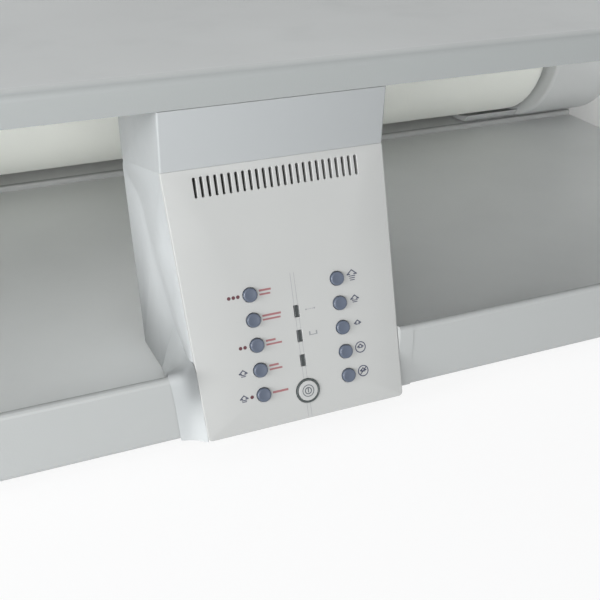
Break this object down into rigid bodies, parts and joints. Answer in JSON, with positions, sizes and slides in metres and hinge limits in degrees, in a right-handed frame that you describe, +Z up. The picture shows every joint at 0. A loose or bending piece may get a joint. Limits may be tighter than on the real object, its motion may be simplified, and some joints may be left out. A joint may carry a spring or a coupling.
{
  "type": "rotary ironer",
  "caption": "Rotary ironer with a padded roller, a swinging heated shoe, a feed table above a delivery tray, and a sloping control column with push buttons.",
  "frame": {"origin": "middle of the footprint on the surface that the ironer stands on", "axes": "+X to the right of the operator, +Y away from the operator, +Z up"},
  "size_m": [1.0506, 0.5882, 0.2159],
  "materials": {
    "painted_white": "satin white powder coat",
    "moulded_white": "satin white moulding",
    "moulded_grey": "satin blue-grey moulding",
    "steel": "plated steel",
    "shoe_aluminium": "polished",
    "roller_cloth": "plain woven cotton",
    "roller_felt": "needled felt",
    "foot_rubber": "matt",
    "button_plastic": "satin",
    "dark_plastic": "satin",
    "circuit_board": "satin",
    "brass": "turned bronze"
  },
  "bodies": {
    "root": {"lower_tray": "painted_white", "rear_chassis": "painted_white", "left_end_panel": "painted_white", "right_end_panel": "painted_white", "feed_table": "painted_white", "column_fascia": "painted_white", "rear_cover": "painted_white", "column_shell": "moulded_white", "column_service_cover": "moulded_white", "left_end_cap": "moulded_white", "right_end_cap": "moulded_white", "left_end_housing": "moulded_grey", "right_end_housing": "moulded_grey", "gear_motor": "steel", "press_motor": "steel", "left_frame_plate": "steel", "right_frame_plate": "steel", "left_hinge_pin": "steel", "right_hinge_pin": "steel", "rear_rail": "steel", "front_left_foot": "foot_rubber", "front_right_foot": "foot_rubber", "rear_left_foot": "foot_rubber", "rear_right_foot": "foot_rubber", "indicator_lens": "dark_plastic", "power_ring": "dark_plastic", "mains_inlet": "dark_plastic", "control_board": "circuit_board", "relay_board": "circuit_board", "left_bearing": "brass", "right_bearing": "brass"},
    "roller": {"roller_tube": "steel", "roller_padding": "roller_felt", "roller_cover": "roller_cloth", "left_end_disc": "steel", "right_end_disc": "steel", "left_journal": "steel", "right_journal": "steel", "drive_gear": "dark_plastic"},
    "pinion": {"motor_pinion": "brass"},
    "shoe": {"heating_shoe": "shoe_aluminium", "shoe_casing": "moulded_white", "heating_element": "steel", "thermostat": "dark_plastic", "thermal_fuse": "steel", "left_shoe_arm": "steel", "right_shoe_arm": "steel", "cam_follower": "brass"},
    "cam": {"press_cam": "brass"},
    "fabric_key_1": {"fabric_button_1": "button_plastic"},
    "fabric_key_2": {"fabric_button_2": "button_plastic"},
    "fabric_key_3": {"fabric_button_3": "button_plastic"},
    "fabric_key_4": {"fabric_button_4": "button_plastic"},
    "fabric_key_5": {"fabric_button_5": "button_plastic"},
    "mode_key_1": {"mode_button_1": "button_plastic"},
    "mode_key_2": {"mode_button_2": "button_plastic"},
    "mode_key_3": {"mode_button_3": "button_plastic"},
    "mode_key_4": {"mode_button_4": "button_plastic"},
    "mode_key_5": {"mode_button_5": "button_plastic"},
    "power_key": {"power_button": "moulded_white"}
  },
  "joints": [
    {"name": "roller_spin", "type": "hinge", "parent": "root", "child": "roller", "pos_m": [0, 0.15764, 0.1085], "axis": [-1, 0, 0], "continuous": true},
    {"name": "pinion_spin", "type": "hinge", "parent": "root", "child": "pinion", "pos_m": [0.4683, 0.19491, 0.1346], "axis": [-1, 0, 0], "continuous": true},
    {"name": "shoe_swing", "type": "hinge", "parent": "root", "child": "shoe", "pos_m": [0, 0.19764, 0.0335], "axis": [1, 0, 0], "range_deg": [0, 12]},
    {"name": "cam_turn", "type": "hinge", "parent": "root", "child": "cam", "pos_m": [-0.4413, 0.14832, 0.05474], "axis": [1, 0, 0], "range_deg": [0, 180]},
    {"name": "fabric_press_1", "type": "slide", "parent": "root", "child": "fabric_key_1", "axis": [0, 0.9415, -0.3371], "range_m": [0, 0.0012], "stiffness_N_per_m": 600},
    {"name": "fabric_press_2", "type": "slide", "parent": "root", "child": "fabric_key_2", "axis": [0, 0.9415, -0.3371], "range_m": [0, 0.0012], "stiffness_N_per_m": 600},
    {"name": "fabric_press_3", "type": "slide", "parent": "root", "child": "fabric_key_3", "axis": [0, 0.9415, -0.3371], "range_m": [0, 0.0012], "stiffness_N_per_m": 600},
    {"name": "fabric_press_4", "type": "slide", "parent": "root", "child": "fabric_key_4", "axis": [0, 0.9415, -0.3371], "range_m": [0, 0.0012], "stiffness_N_per_m": 600},
    {"name": "fabric_press_5", "type": "slide", "parent": "root", "child": "fabric_key_5", "axis": [0, 0.9415, -0.3371], "range_m": [0, 0.0012], "stiffness_N_per_m": 600},
    {"name": "mode_press_1", "type": "slide", "parent": "root", "child": "mode_key_1", "axis": [0, 0.9415, -0.3371], "range_m": [0, 0.0012], "stiffness_N_per_m": 600},
    {"name": "mode_press_2", "type": "slide", "parent": "root", "child": "mode_key_2", "axis": [0, 0.9415, -0.3371], "range_m": [0, 0.0012], "stiffness_N_per_m": 600},
    {"name": "mode_press_3", "type": "slide", "parent": "root", "child": "mode_key_3", "axis": [0, 0.9415, -0.3371], "range_m": [0, 0.0012], "stiffness_N_per_m": 600},
    {"name": "mode_press_4", "type": "slide", "parent": "root", "child": "mode_key_4", "axis": [0, 0.9415, -0.3371], "range_m": [0, 0.0012], "stiffness_N_per_m": 600},
    {"name": "mode_press_5", "type": "slide", "parent": "root", "child": "mode_key_5", "axis": [0, 0.9415, -0.3371], "range_m": [0, 0.0012], "stiffness_N_per_m": 600},
    {"name": "power_press", "type": "slide", "parent": "root", "child": "power_key", "axis": [0, 0.9415, -0.3371], "range_m": [0, 0.0012], "stiffness_N_per_m": 600}
  ],
  "couplings": [
    {"joint": "pinion_spin", "follows": "roller_spin", "ratio": -3.3333},
    {"joint": "cam_turn", "follows": "shoe_swing", "ratio": 15}
  ]
}
